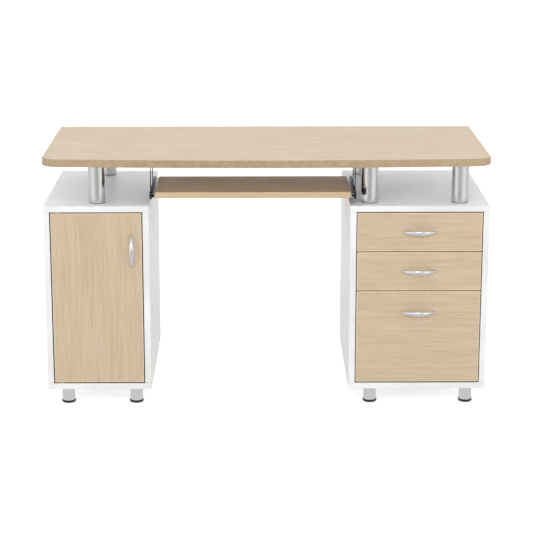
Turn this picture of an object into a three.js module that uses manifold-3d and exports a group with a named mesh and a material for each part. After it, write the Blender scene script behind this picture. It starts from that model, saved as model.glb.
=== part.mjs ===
// Computer desk with two pedestals, a raised desktop and a hanging keyboard tray.
// Millimetres. +X right, +Y back, +Z up. The origin is on the floor under the middle of the desk.
// The front faces -Y. The left pedestal is a cupboard and the right one holds three drawers.

import * as THREE from 'three';
import { mergeVertices } from 'three/addons/utils/BufferGeometryUtils.js';
import Module from 'manifold-3d';

const wasm = await Module();
wasm.setup();

// ---------------------------------------------------------------- driving dimensions

const DESK_WIDTH = 1300;
const DESK_DEPTH = 600;
const DESK_HEIGHT = 755;
const TOP_THICKNESS = 22;
const FRONT_BOW = 25;        // how far the middle of the front edge stands ahead of its ends
const CORNER_RADIUS = 50;

const BOARD = 18;            // cabinet boards, door and drawer fronts
const BACK_BOARD = 12;
const CABINET_DEPTH = 550;
const CABINET_HEIGHT = 556;
const LEFT_WIDTH = 307;
const RIGHT_WIDTH = 406;

const FOOT_HEIGHT = 56;
const FOOT_RADIUS = 19;
const FOOT_CAP_RADIUS = 21;
const FOOT_CAP_HEIGHT = 8;
const FOOT_INSET = 55;       // foot axis from the front and the back of its cabinet
const LEFT_FOOT_INSETS = { outer: 55, inner: 48 };  // and from the cabinet's two sides
const RIGHT_FOOT_INSETS = { outer: 51, inner: 67 };

const POST_RADIUS = 25;
const TUBE_WALL = 1.5;
const END_PLATE = 3;         // plate that closes a post or a foot, with the bolt's hole
const BOLT_HOLE_RADIUS = 4.5;
const POST_FRONT_INSET = 58; // post axis behind the cabinets' front
const POST_REAR_INSET = 60;  // post axis ahead of the cabinets' back

const SEAM = 0.3;            // gap between boards that touch
const REVEAL = 3;            // gap around the door and between the drawer fronts
const SIDE_REVEAL = 2.5;     // gap beside the drawer fronts

const PIVOT_INSET = 20;      // door pivot from the door's hinged edge
const PIN_RADIUS = 4;
const PIN_HOLE_RADIUS = 4.4;
const PIN_DEPTH = 12;        // how far a pivot pin reaches into a board or into the door

const HANDLE_LENGTH = 105;
const HANDLE_PROJECTION = 25;
const HANDLE_BAR = 7;        // thickness of the bow at its middle
const HANDLE_FOOT = 8.5;     // length of each end that meets the front
const HANDLE_HEIGHT = 11;
const DOOR_HANDLE_INSET = 30;
const DOOR_HANDLE_DROP = 113;

const DRAWER_FRONTS = [      // from the top drawer down
  { height: 115, boxHeight: 85, boxLift: 12, handleDrop: 57 },
  { height: 115, boxHeight: 85, boxLift: 12, handleDrop: 57 },
  { height: 278, boxHeight: 205, boxLift: 16, handleDrop: 64 },
];
const DRAWER_LENGTH = 450;
const DRAWER_WALL = 12;
const DRAWER_BOTTOM = 4;
const SLIDE_SPACE = 13;      // between a cabinet side and the drawer box
const SLIDE_HEIGHT = 35;
const SLIDE_SHEET = 1.5;
const RUNNER_LENGTH = 440;

const TRAY_LEFT = -340;      // outer faces of the two tray slides
const TRAY_RIGHT = 261;
const TRAY_SLIDE_SPACE = 16;
const TRAY_THICKNESS = 18;
const TRAY_DEPTH = 243;
const TRAY_TOP = 651;
const TRAY_FRONT = -240;
const TRAY_SLIDE_HEIGHT = 20;
const TRAY_SLIDE_LENGTH = 245;
const STRAP_WIDTH = 28;
const STRAP_FLANGE = 14;
const STRAP_SETBACKS = [54, 162]; // strap centres behind the tray's front edge

const ROUND_SEGMENTS = 24;

// ---------------------------------------------------------------- places that follow from them

const BACK = DESK_DEPTH / 2;
const FRONT = BACK - CABINET_DEPTH;
const DESKTOP_UNDERSIDE = DESK_HEIGHT - TOP_THICKNESS;
const CABINET_BOTTOM = FOOT_HEIGHT;
const CABINET_TOP = CABINET_BOTTOM + CABINET_HEIGHT;
const OPENING_BOTTOM = CABINET_BOTTOM + BOARD;
const OPENING_TOP = CABINET_TOP - BOARD;
const FRONT_BACK_FACE = FRONT + BOARD;

const left = {
  name: 'left_cabinet',
  outer: -DESK_WIDTH / 2,
  inner: -DESK_WIDTH / 2 + LEFT_WIDTH,
  footInsets: LEFT_FOOT_INSETS,
};
const right = {
  name: 'right_cabinet',
  outer: DESK_WIDTH / 2,
  inner: DESK_WIDTH / 2 - RIGHT_WIDTH,
  footInsets: RIGHT_FOOT_INSETS,
};

const leftFrontPost = (left.outer + left.inner) / 2;
const rightInnerPost = right.inner + 59;
const rightOuterPost = right.outer - 82;

const material = (color, roughness, metalness = 0) =>
  new THREE.MeshStandardMaterial({ color, roughness, metalness });

const paleWood = material(0xd8c4a0, 0.5);
const whiteLaminate = material(0xeeeeec, 0.35);
const blackPlastic = material(0x17171a, 0.6);
const brushedSteel = material(0xb4b4b2, 0.35, 1);
const satinChrome = material(0xc8c8c8, 0.2, 1);
const zincSteel = material(0xa8aaac, 0.45, 1);
const blackSteel = material(0x1b1b1c, 0.5, 0.4);
const drawerBoard = material(0xe6e4de, 0.6);

const group = new THREE.Group();

// ---------------------------------------------------------------- geometry helpers

function add(name, geometry, finish, [x, y, z] = [0, 0, 0]) {
  const mesh = new THREE.Mesh(geometry, finish);
  mesh.name = name;
  mesh.position.set(x, y, z);
  group.add(mesh);
}

// A flat board given by its lowest and highest corners.
function boardGeometry([x0, y0, z0], [x1, y1, z1]) {
  const geometry = new THREE.BoxGeometry(x1 - x0, y1 - y0, z1 - z0);
  geometry.translate((x0 + x1) / 2, (y0 + y1) / 2, (z0 + z1) / 2);
  return geometry;
}

function board(name, low, high, finish) {
  add(name, boardGeometry(low, high), finish);
}

// A shape drawn in X and Z, extruded along Y from its front end.
function alongY(shape, front, length, curveSegments = 8) {
  const geometry = new THREE.ExtrudeGeometry(shape, { depth: length, bevelEnabled: false, curveSegments });
  geometry.rotateX(Math.PI / 2);
  geometry.translate(0, front + length, 0);
  return geometry;
}

// A shape drawn in X and Y, extruded upward from the height bottom.
function upward(shape, bottom, height, curveSegments = 8) {
  const geometry = new THREE.ExtrudeGeometry(shape, { depth: height, bevelEnabled: false, curveSegments });
  geometry.translate(0, 0, bottom);
  return geometry;
}

// A profile of [radius, height] points, turned round a vertical axis.
function turned(profile, segments = ROUND_SEGMENTS) {
  const points = profile.map(([r, z]) => new THREE.Vector2(r, z));
  const geometry = new THREE.LatheGeometry(points, segments);
  geometry.rotateX(Math.PI / 2);
  return geometry;
}

function polygon(points) {
  return new THREE.Shape(points.map(([x, y]) => new THREE.Vector2(x, y)));
}

// ---------------------------------------------------------------- joining and cutting

function toSolid(geometry) {
  const bare = geometry.clone();
  bare.deleteAttribute('normal');
  bare.deleteAttribute('uv');
  const merged = mergeVertices(bare, 1e-4);
  return new wasm.Manifold(new wasm.Mesh({
    numProp: 3,
    vertProperties: new Float32Array(merged.attributes.position.array),
    triVerts: new Uint32Array(merged.index.array),
  }));
}

function toGeometry(solid) {
  const mesh = solid.getMesh();
  const geometry = new THREE.BufferGeometry();
  geometry.setAttribute('position', new THREE.BufferAttribute(new Float32Array(mesh.vertProperties), 3));
  geometry.setIndex(new THREE.BufferAttribute(new Uint32Array(mesh.triVerts), 1));
  geometry.computeVertexNormals();
  return geometry;
}

const cut = (body, tools) => toGeometry(tools.map(toSolid).reduce((a, b) => a.subtract(b), toSolid(body)));
const join = (parts) => toGeometry(parts.map(toSolid).reduce((a, b) => a.add(b)));

// A drill for the pivot pins: a short cylinder on the pivot's axis.
function pinHole(x, y, bottom, height) {
  const drill = new THREE.CylinderGeometry(PIN_HOLE_RADIUS, PIN_HOLE_RADIUS, height, ROUND_SEGMENTS);
  drill.rotateX(Math.PI / 2);
  drill.translate(x, y, bottom + height / 2);
  return drill;
}

// ---------------------------------------------------------------- desktop

// Straight back and sides, a shallow arc along the front and rounded front corners.
function desktopOutline() {
  const half = DESK_WIDTH / 2;
  const bowRadius = (half * half + FRONT_BOW * FRONT_BOW) / (2 * FRONT_BOW);
  const bowCentreY = -BACK + bowRadius;
  const cornerX = half - CORNER_RADIUS;
  const cornerY = bowCentreY - Math.sqrt((bowRadius - CORNER_RADIUS) ** 2 - cornerX ** 2);
  const turn = Math.atan2(cornerX, bowCentreY - cornerY);
  const down = -Math.PI / 2;

  const outline = new THREE.Shape();
  outline.moveTo(half, BACK);
  outline.lineTo(-half, BACK);
  outline.absarc(-cornerX, cornerY, CORNER_RADIUS, Math.PI, 2 * Math.PI + down - turn, false);
  outline.absarc(0, bowCentreY, bowRadius, down - turn, down + turn, false);
  outline.absarc(cornerX, cornerY, CORNER_RADIUS, down + turn, 0, false);
  return outline;
}

function desktop() {
  add('desktop', upward(desktopOutline(), DESKTOP_UNDERSIDE, TOP_THICKNESS, 16), paleWood);
}

// ---------------------------------------------------------------- cabinets

function cabinet({ name, outer, inner }, holes) {
  const low = Math.min(outer, inner);
  const high = Math.max(outer, inner);
  const inward = Math.sign(inner - outer);
  const wallBottom = OPENING_BOTTOM + SEAM;
  const wallTop = OPENING_TOP - SEAM;

  const top = boardGeometry([low, FRONT, OPENING_TOP], [high, BACK, CABINET_TOP]);
  const bottom = boardGeometry([low, FRONT, CABINET_BOTTOM], [high, BACK, OPENING_BOTTOM]);
  add(`${name}_top`, holes.top ? cut(top, [holes.top]) : top, whiteLaminate);
  add(`${name}_bottom`, holes.bottom ? cut(bottom, [holes.bottom]) : bottom, whiteLaminate);

  const side = (label, face, direction) => {
    const xs = [face, face + direction * BOARD].sort((a, b) => a - b);
    board(`${name}_${label}`, [xs[0], FRONT, wallBottom], [xs[1], BACK, wallTop], whiteLaminate);
  };
  side('outer_side', outer, inward);
  side('inner_side', inner, -inward);

  const backLeft = low + BOARD + SEAM;
  const backRight = high - BOARD - SEAM;
  board(`${name}_back`, [backLeft, BACK - BACK_BOARD, wallBottom], [backRight, BACK, wallTop], whiteLaminate);
}

function shelf() {
  const clearance = 1;
  const setback = 45;
  const height = 318;
  board('left_cabinet_shelf',
    [left.outer + BOARD + clearance, FRONT + setback, height],
    [left.inner - BOARD - clearance, BACK - BACK_BOARD - clearance, height + BOARD],
    whiteLaminate);
}

// ---------------------------------------------------------------- posts and feet

// A steel tube with an inset plate at each end; the bolt that holds it goes through the plate.
function post(name, x, y) {
  const height = DESKTOP_UNDERSIDE - CABINET_TOP - 2 * SEAM;
  const bore = POST_RADIUS - TUBE_WALL;
  const profile = [
    [BOLT_HOLE_RADIUS, 0],
    [POST_RADIUS, 0],
    [POST_RADIUS, height],
    [BOLT_HOLE_RADIUS, height],
    [BOLT_HOLE_RADIUS, height - END_PLATE],
    [bore, height - END_PLATE],
    [bore, END_PLATE],
    [BOLT_HOLE_RADIUS, END_PLATE],
    [BOLT_HOLE_RADIUS, 0],
  ];
  add(name, turned(profile), brushedSteel, [x, y, CABINET_TOP + SEAM]);
}

function posts() {
  const front = FRONT + POST_FRONT_INSET;
  const rear = BACK - POST_REAR_INSET;
  post('post_left_front', leftFrontPost, front);
  post('post_left_rear', leftFrontPost, rear);
  post('post_right_inner_front', rightInnerPost, front);
  post('post_right_inner_rear', rightInnerPost, rear);
  post('post_right_outer_front', rightOuterPost, front);
}

// A steel tube pressed into a wider plastic glide that stands on the floor.
function foot(name, x, y) {
  const height = FOOT_HEIGHT - SEAM;
  const bore = FOOT_RADIUS - TUBE_WALL;
  const chamfer = 1;
  const profile = [
    [0, 0],
    [FOOT_CAP_RADIUS - chamfer, 0],
    [FOOT_CAP_RADIUS, chamfer],
    [FOOT_CAP_RADIUS, FOOT_CAP_HEIGHT],
    [FOOT_RADIUS, FOOT_CAP_HEIGHT],
    [FOOT_RADIUS, height],
    [BOLT_HOLE_RADIUS, height],
    [BOLT_HOLE_RADIUS, height - END_PLATE],
    [bore, height - END_PLATE],
    [bore, FOOT_CAP_HEIGHT],
    [0, FOOT_CAP_HEIGHT],
  ];
  add(name, turned(profile), brushedSteel, [x, y, 0]);
}

function feet() {
  for (const { name, outer, inner, footInsets } of [left, right]) {
    const side = name.split('_')[0];
    const inward = Math.sign(inner - outer);
    const places = { outer: outer + inward * footInsets.outer, inner: inner - inward * footInsets.inner };
    for (const [edge, x] of Object.entries(places)) {
      foot(`foot_${side}_${edge}_front`, x, FRONT + FOOT_INSET);
      foot(`foot_${side}_${edge}_rear`, x, BACK - FOOT_INSET);
    }
  }
}

// ---------------------------------------------------------------- handles

// A bow lying in X and Y: it leaves the front at x = -length / 2, arches out towards -Y and returns.
function handleOutline() {
  const half = HANDLE_LENGTH / 2;
  const innerHalf = half - HANDLE_FOOT;
  const innerRise = HANDLE_PROJECTION - HANDLE_BAR;
  const arc = (chord, rise) => {
    const radius = (chord * chord + rise * rise) / (2 * rise);
    return { radius, centre: radius - rise, turn: Math.asin(chord / radius) };
  };
  const outer = arc(half, HANDLE_PROJECTION);
  const inner = arc(innerHalf, innerRise);
  const down = -Math.PI / 2;
  const outline = new THREE.Shape();
  outline.moveTo(-half, 0);
  outline.absarc(0, outer.centre, outer.radius, down - outer.turn, down + outer.turn, false);
  outline.lineTo(innerHalf, 0);
  outline.absarc(0, inner.centre, inner.radius, down + inner.turn, down - inner.turn, true);
  return outline;
}

function handle(name, x, z, upright) {
  const geometry = upward(handleOutline(), -HANDLE_HEIGHT / 2, HANDLE_HEIGHT, 12);
  if (upright) geometry.rotateY(Math.PI / 2);
  add(name, geometry, satinChrome, [x, FRONT - SEAM, z]);
}

// ---------------------------------------------------------------- cupboard

const door = {
  left: left.outer + BOARD + REVEAL,
  right: left.inner - BOARD - REVEAL,
  bottom: OPENING_BOTTOM + REVEAL,
  top: OPENING_TOP - REVEAL,
};
const pivot = { x: door.left + PIVOT_INSET, y: FRONT + BOARD / 2 };

// A pin with a collar that fills the gap between the door's edge and the cabinet.
function pivotPin(name, gapBottom) {
  const collarRadius = 7;
  const reach = PIN_DEPTH - SEAM;
  const profile = [
    [0, -reach],
    [PIN_RADIUS, -reach],
    [PIN_RADIUS, SEAM],
    [collarRadius, SEAM],
    [collarRadius, REVEAL - SEAM],
    [PIN_RADIUS, REVEAL - SEAM],
    [PIN_RADIUS, REVEAL + reach],
    [0, REVEAL + reach],
  ];
  add(name, turned(profile), zincSteel, [pivot.x, pivot.y, gapBottom]);
}

function cupboard() {
  const topHole = pinHole(pivot.x, pivot.y, door.top + REVEAL - 1, PIN_DEPTH + 1);
  const bottomHole = pinHole(pivot.x, pivot.y, OPENING_BOTTOM - PIN_DEPTH, PIN_DEPTH + 1);
  cabinet(left, { top: topHole, bottom: bottomHole });
  shelf();

  const panel = boardGeometry([door.left, FRONT, door.bottom], [door.right, FRONT_BACK_FACE, door.top]);
  const panelHoles = [
    pinHole(pivot.x, pivot.y, door.bottom - 1, PIN_DEPTH + 1),
    pinHole(pivot.x, pivot.y, door.top - PIN_DEPTH, PIN_DEPTH + 1),
  ];
  add('door', cut(panel, panelHoles), paleWood);
  pivotPin('door_pivot_pin_upper', door.top);
  pivotPin('door_pivot_pin_lower', OPENING_BOTTOM);
  handle('door_handle', door.right - DOOR_HANDLE_INSET, door.top - DOOR_HANDLE_DROP, true);
  doorCatch();
}

// A magnetic catch under the cabinet's top board, and its strike plate on the door's back.
function doorCatch() {
  const width = 44;
  const rightEdge = door.right - 20;
  const plate = 1.2;
  const plateBack = FRONT_BACK_FACE + SEAM + plate;
  board('door_strike_plate',
    [rightEdge - width, FRONT_BACK_FACE + SEAM, door.top - 16],
    [rightEdge, plateBack, door.top - 2],
    zincSteel);
  board('door_catch',
    [rightEdge - width, plateBack + SEAM, OPENING_TOP - SEAM - 15],
    [rightEdge, plateBack + SEAM + 14, OPENING_TOP - SEAM],
    blackPlastic);
}

// ---------------------------------------------------------------- drawers

const fronts = { left: right.inner + BOARD + SIDE_REVEAL, right: right.outer - BOARD - SIDE_REVEAL };
const box = { left: right.inner + BOARD + SLIDE_SPACE, right: right.outer - BOARD - SLIDE_SPACE };
box.front = FRONT_BACK_FACE + SEAM;

// Section of the rail on the cabinet side: a channel that opens towards +X, from its back at x = 0.
function railSection(depth, height, sheet) {
  const half = height / 2;
  return polygon([
    [0, -half], [depth, -half], [depth, sheet - half], [sheet, sheet - half],
    [sheet, half - sheet], [depth, half - sheet], [depth, half], [0, half],
  ]);
}

// Section of the runner on the drawer: a flat plate at x = space and a tongue that lies in the channel.
function runnerSection(space, plateHeight, tongueHeight, tongueTip, sheet) {
  const plate = plateHeight / 2;
  const tongue = tongueHeight / 2;
  return polygon([
    [tongueTip, -tongue], [space - sheet, -tongue], [space - sheet, -plate], [space, -plate],
    [space, plate], [space - sheet, plate], [space - sheet, tongue], [tongueTip, tongue],
  ]);
}

// The same section at the left of a gap, or mirrored at its right.
function sectionBar(name, section, face, towards, front, length, z, finish) {
  const geometry = alongY(section, front, length);
  if (towards < 0) geometry.rotateZ(Math.PI).translate(0, 2 * front + length, 0);
  add(name, geometry, finish, [face, 0, z]);
}

function drawer(number, top, { height, boxHeight, boxLift, handleDrop }) {
  const name = `drawer_${number}`;
  const bottom = top - height;
  const boxBottom = bottom + boxLift;
  const boxBack = box.front + DRAWER_LENGTH;
  const slideCentre = boxBottom + Math.min(boxHeight / 2, 100);

  board(`${name}_front`, [fronts.left, FRONT, bottom], [fronts.right, FRONT_BACK_FACE, top], paleWood);
  handle(`${name}_handle`, (fronts.left + fronts.right) / 2, top - handleDrop, false);

  const ring = polygon([
    [box.left, box.front], [box.right, box.front], [box.right, boxBack], [box.left, boxBack],
  ]);
  const inside = polygon([
    [box.left + DRAWER_WALL, box.front + DRAWER_WALL], [box.left + DRAWER_WALL, boxBack - DRAWER_WALL],
    [box.right - DRAWER_WALL, boxBack - DRAWER_WALL], [box.right - DRAWER_WALL, box.front + DRAWER_WALL],
  ]);
  ring.holes.push(inside);
  add(`${name}_box`, upward(ring, boxBottom, boxHeight), drawerBoard);
  board(`${name}_bottom`,
    [box.left, box.front, boxBottom - SEAM - DRAWER_BOTTOM],
    [box.right, boxBack, boxBottom - SEAM],
    drawerBoard);

  const rail = railSection(8.5, SLIDE_HEIGHT, SLIDE_SHEET);
  const runner = runnerSection(SLIDE_SPACE - 2 * SEAM, 26, 18, 3.5, SLIDE_SHEET);
  const slideFront = box.front + 3;
  for (const [label, wall, towards] of [['left', right.inner + BOARD, 1], ['right', right.outer - BOARD, -1]]) {
    const face = wall + towards * SEAM;
    sectionBar(`${name}_rail_${label}`, rail, face, towards, slideFront, DRAWER_LENGTH, slideCentre, zincSteel);
    sectionBar(`${name}_runner_${label}`, runner, face, towards, slideFront, RUNNER_LENGTH, slideCentre, zincSteel);
  }
}

function drawers() {
  cabinet(right, {});
  let top = OPENING_TOP - REVEAL;
  DRAWER_FRONTS.forEach((size, index) => {
    drawer(index + 1, top, size);
    top -= size.height + REVEAL;
  });
}

// ---------------------------------------------------------------- keyboard tray

// A channel rail with two riveted straps that rise to the desktop and turn outwards under it.
function trayHanger(name, face, towards) {
  const sheet = SLIDE_SHEET;
  const centre = TRAY_TOP - TRAY_SLIDE_HEIGHT / 2;
  const bottom = centre - TRAY_SLIDE_HEIGHT / 2;
  const top = DESKTOP_UNDERSIDE - SEAM;
  const parts = [alongY(railSection(7, TRAY_SLIDE_HEIGHT, sheet), TRAY_FRONT, TRAY_SLIDE_LENGTH)];
  parts[0].translate(0, 0, centre);
  const strap = polygon([
    [0, bottom], [sheet, bottom], [sheet, top], [-STRAP_FLANGE, top], [-STRAP_FLANGE, top - sheet], [0, top - sheet],
  ]);
  for (const setback of STRAP_SETBACKS) {
    parts.push(alongY(strap, TRAY_FRONT + setback - STRAP_WIDTH / 2, STRAP_WIDTH));
  }
  const geometry = join(parts);
  if (towards < 0) {
    geometry.scale(-1, 1, 1);
    geometry.setIndex([...geometry.index.array].reverse());
  }
  add(name, geometry, blackSteel, [face, 0, 0]);
}

function keyboardTray() {
  const boardLeft = TRAY_LEFT + TRAY_SLIDE_SPACE;
  const boardRight = TRAY_RIGHT - TRAY_SLIDE_SPACE;
  board('keyboard_tray',
    [boardLeft, TRAY_FRONT, TRAY_TOP - TRAY_THICKNESS],
    [boardRight, TRAY_FRONT + TRAY_DEPTH, TRAY_TOP],
    paleWood);
  const runner = runnerSection(TRAY_SLIDE_SPACE - SEAM, 16, 11, 3, SLIDE_SHEET);
  const centre = TRAY_TOP - TRAY_SLIDE_HEIGHT / 2;
  for (const [label, face, towards] of [['left', TRAY_LEFT, 1], ['right', TRAY_RIGHT, -1]]) {
    trayHanger(`tray_hanger_${label}`, face, towards);
    sectionBar(`tray_runner_${label}`, runner, face, towards, TRAY_FRONT, TRAY_SLIDE_LENGTH, centre, zincSteel);
  }
}

// ---------------------------------------------------------------- the desk

desktop();
posts();
feet();
cupboard();
drawers();
keyboardTray();

export default group;
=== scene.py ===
import math

import bmesh
import bpy
from mathutils import Matrix, Vector


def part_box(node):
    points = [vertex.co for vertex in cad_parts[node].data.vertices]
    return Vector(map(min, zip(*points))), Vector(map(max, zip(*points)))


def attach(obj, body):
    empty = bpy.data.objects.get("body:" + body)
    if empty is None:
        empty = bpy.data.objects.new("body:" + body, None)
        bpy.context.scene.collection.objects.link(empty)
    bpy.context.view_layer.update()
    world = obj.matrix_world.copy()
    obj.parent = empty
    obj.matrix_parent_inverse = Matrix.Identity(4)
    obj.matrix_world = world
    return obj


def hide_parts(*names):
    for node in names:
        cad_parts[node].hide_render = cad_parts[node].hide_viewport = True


# Looks of a computer desk: two pedestals, a raised desktop and a keyboard tray on slides.
# Lengths are in metres, written as a number of MM where that reads better.

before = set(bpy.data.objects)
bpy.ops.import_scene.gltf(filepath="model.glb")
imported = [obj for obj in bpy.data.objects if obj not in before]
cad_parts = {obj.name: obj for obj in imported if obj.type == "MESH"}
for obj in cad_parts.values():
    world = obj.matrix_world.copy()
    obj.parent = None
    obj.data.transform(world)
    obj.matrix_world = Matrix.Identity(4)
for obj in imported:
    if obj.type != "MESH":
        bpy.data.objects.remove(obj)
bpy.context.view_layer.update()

MM = 0.001
ROOT = "root"
DRAWERS = ("drawer_1", "drawer_2", "drawer_3")
BACKWARD = (0, 1, 0)
SHADED_SHARP = math.radians(42)     # Steeper edges of a mesh are shaded as corners.
SOFTENED = math.radians(35)         # Steeper edges of a prism get a bevel.


def srgb(red, green, blue):
    """An 8-bit display colour as the linear colour that a shader takes."""
    linear = [((v / 255 + 0.055) / 1.055) ** 2.4 if v > 10 else v / 255 / 12.92
              for v in (red, green, blue)]
    return (*linear, 1.0)


# ---------------------------------------------------------------- shader nodes

class Nodes:
    """Short names for the shader nodes used here. Every method but add returns an output socket."""

    def __init__(self, tree):
        self.tree = tree

    def put(self, socket, value):
        """Links an output socket to the input, or sets the input to a constant."""
        if isinstance(value, bpy.types.NodeSocket):
            self.tree.links.new(value, socket)
        else:
            socket.default_value = value

    def add(self, kind, values, **settings):
        node = self.tree.nodes.new("ShaderNode" + kind)
        for key, value in settings.items():
            setattr(node, key, value)
        for key, value in values.items():
            self.put(node.inputs[key], value)
        return node

    def coordinates(self, order="XYZ"):
        """The piece's own coordinates in metres, with the axes put in that order."""
        own = self.tree.nodes.new("ShaderNodeTexCoord").outputs["Object"]
        parts = self.add("SeparateXYZ", {0: own})
        axes = {i: parts.outputs[axis] for i, axis in enumerate(order)}
        return self.add("CombineXYZ", axes).outputs[0]

    def noise(self, vector, scale, shift, detail, distortion=0.0):
        """Noise with a scale for each axis. Another shift gives another pattern."""
        offset = (shift, shift * 1.7, shift * 0.6)
        place = self.add("Mapping", {"Vector": vector, "Scale": scale, "Location": offset})
        made = self.add("TexNoise", {"Vector": place.outputs[0], "Scale": 1.0, "Detail": detail,
                                     "Distortion": distortion})
        return made.outputs["Fac"]

    def remap(self, value, low, high, to_low=0.0, to_high=1.0):
        return self.add("MapRange", {"Value": value, "From Min": low, "From Max": high,
                                     "To Min": to_low, "To Max": to_high}).outputs[0]

    def math(self, operation, a, b=0.0):
        return self.add("Math", {0: a, 1: b}, operation=operation).outputs[0]

    def mix(self, factor, a, b, blend="MIX"):
        """A mix of two colours, which are sockets 6 and 7 of the Mix node and come out at 2."""
        made = self.add("Mix", {0: factor, 6: a, 7: b}, data_type="RGBA", blend_type=blend)
        return made.outputs[2]

    def bump(self, height, strength, distance):
        made = self.add("Bump", {"Height": height, "Strength": strength, "Distance": distance})
        return made.outputs["Normal"]

    def wear(self, vector, low=0.42, high=0.62):
        """How rubbed the surface is: broken patches that keep to the arrises."""
        edge = self.add("Attribute", {}, attribute_name="wear").outputs["Fac"]
        broken = self.remap(self.noise(vector, (70, 70, 70), 3.1, 4.0), low, high)
        return self.math("MULTIPLY", edge, broken)


def material(name, **constants):
    """A new material with its Principled shader: (material, nodes, shader)."""
    made = bpy.data.materials.new(name)
    made.use_nodes = True
    made.node_tree.nodes.clear()
    nodes = Nodes(made.node_tree)
    shader = nodes.add("BsdfPrincipled", constants)
    nodes.add("OutputMaterial", {"Surface": shader.outputs[0]})
    return made, nodes, shader


# ---------------------------------------------------------------- materials

WOOD_PINK = srgb(214, 192, 163)
WOOD_YELLOW = srgb(213, 194, 163)
WOOD_DARK = srgb(188, 163, 131)
WOOD_FLECK = srgb(160, 128, 94)
WOOD_EDGE = srgb(226, 207, 174)
WHITE = srgb(238, 238, 237)
WHITE_COOL = srgb(234, 235, 236)
WHITE_PEARL = srgb(214, 216, 219)
WHITE_SCUFFED = srgb(205, 203, 198)

# What the wood print is multiplied by on each kind of board. The tray's factor is painted shade: it
# darkens the tray's wood for the shade under the desktop.
# The desktop's factor is the laminate's tone, made lighter than the fronts' by a painted sheen on
# the top.
DESKTOP_TONE_AND_SHEEN = (0.96, 0.95, 0.93, 1)
TRAY_PAINTED_SHADE = (0.62, 0.52, 0.38, 1)
FRONT_TONE = (0.87, 0.865, 0.875, 1)

# Light, deep and worn colour of each edge band.
CREAM = (WOOD_EDGE, srgb(220, 198, 163), srgb(236, 222, 196))
TAN = (srgb(171, 147, 117), srgb(162, 137, 106), srgb(192, 171, 141))
TRAY_TAN = (srgb(206, 182, 150), srgb(197, 172, 139), srgb(216, 195, 164))


def pale_wood(name, order, shift, tone_and_painted_light, sheen=0.5):
    """Beech-look laminate with its grain along the first axis of order. The print is multiplied by
    a factor that gives the board's tone, with a painted sheen on the desktop and painted shade on
    the tray.
    """
    made, n, shader = material(name, **{"IOR": 1.5, "Specular IOR Level": sheen})
    p = n.coordinates(order)
    patch = n.remap(n.noise(p, (1.3, 6, 6), shift, 2.0), 0.36, 0.64)
    field = n.noise(p, (0.9, 11, 11), shift + 5, 1.5, 0.4)
    rings = n.math("SINE", n.math("MULTIPLY", field, 85.0))
    broad = n.noise(p, (3.2, 95, 95), shift + 9, 3.0)
    fibre = n.noise(p, (9, 330, 330), shift + 2, 4.0)
    fine = n.noise(p, (40, 1600, 1600), shift + 4, 2.0)
    fleck = n.remap(n.noise(p, (55, 620, 620), shift + 7, 1.0), 0.66, 0.72)
    colour = n.mix(patch, WOOD_PINK, WOOD_YELLOW)
    colour = n.mix(n.remap(rings, -0.2, 1.0, 0.0, 0.16), colour, WOOD_DARK)
    colour = n.mix(n.remap(broad, 0.45, 0.72, 0.0, 0.34), colour, WOOD_DARK)
    colour = n.mix(n.remap(fibre, 0.50, 0.76, 0.0, 0.55), colour, WOOD_DARK)
    colour = n.mix(n.remap(fibre, 0.46, 0.26, 0.0, 0.35), colour, WOOD_EDGE)
    colour = n.mix(n.math("MULTIPLY", fleck, 0.35), colour, WOOD_FLECK)
    rubbed = n.wear(p)
    colour = n.mix(n.math("MULTIPLY", rubbed, 0.45), colour, WOOD_EDGE)
    # The factor is the board's tone, and on the desktop and the tray it is also painted light.
    n.put(shader.inputs["Base Color"], n.mix(1.0, colour, tone_and_painted_light, "MULTIPLY"))
    smudge = n.noise(p, (9, 9, 9), shift, 4.0)
    rough = n.math("ADD", n.remap(smudge, 0.3, 0.7, 0.34, 0.42), n.remap(fibre, 0.3, 0.8, 0.0, 0.1))
    n.put(shader.inputs["Roughness"], n.math("ADD", rough, n.math("MULTIPLY", rubbed, 0.12)))
    height = n.math("ADD", n.math("MULTIPLY", fibre, 0.7), n.math("MULTIPLY", fine, 0.3))
    n.put(shader.inputs["Normal"], n.bump(height, 0.22, 0.2 * MM))
    return made


def wood_edge(name, order, shift, light, deep, worn):
    """The edge band of a wood-look board, with its own fine lengthwise print."""
    made, n, shader = material(name, IOR=1.5)
    p = n.coordinates(order)
    fibre = n.noise(p, (12, 420, 420), shift, 3.0)
    patch = n.noise(p, (3, 12, 12), shift + 3, 2.0)
    colour = n.mix(n.remap(patch, 0.35, 0.65), light, deep)
    colour = n.mix(n.remap(fibre, 0.48, 0.75, 0.0, 0.4), colour, WOOD_DARK)
    rubbed = n.wear(p)
    n.put(shader.inputs["Base Color"], n.mix(n.math("MULTIPLY", rubbed, 0.3), colour, worn))
    n.put(shader.inputs["Roughness"], n.remap(fibre, 0.3, 0.7, 0.38, 0.5))
    n.put(shader.inputs["Normal"], n.bump(fibre, 0.2, 0.2 * MM))
    return made


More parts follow.
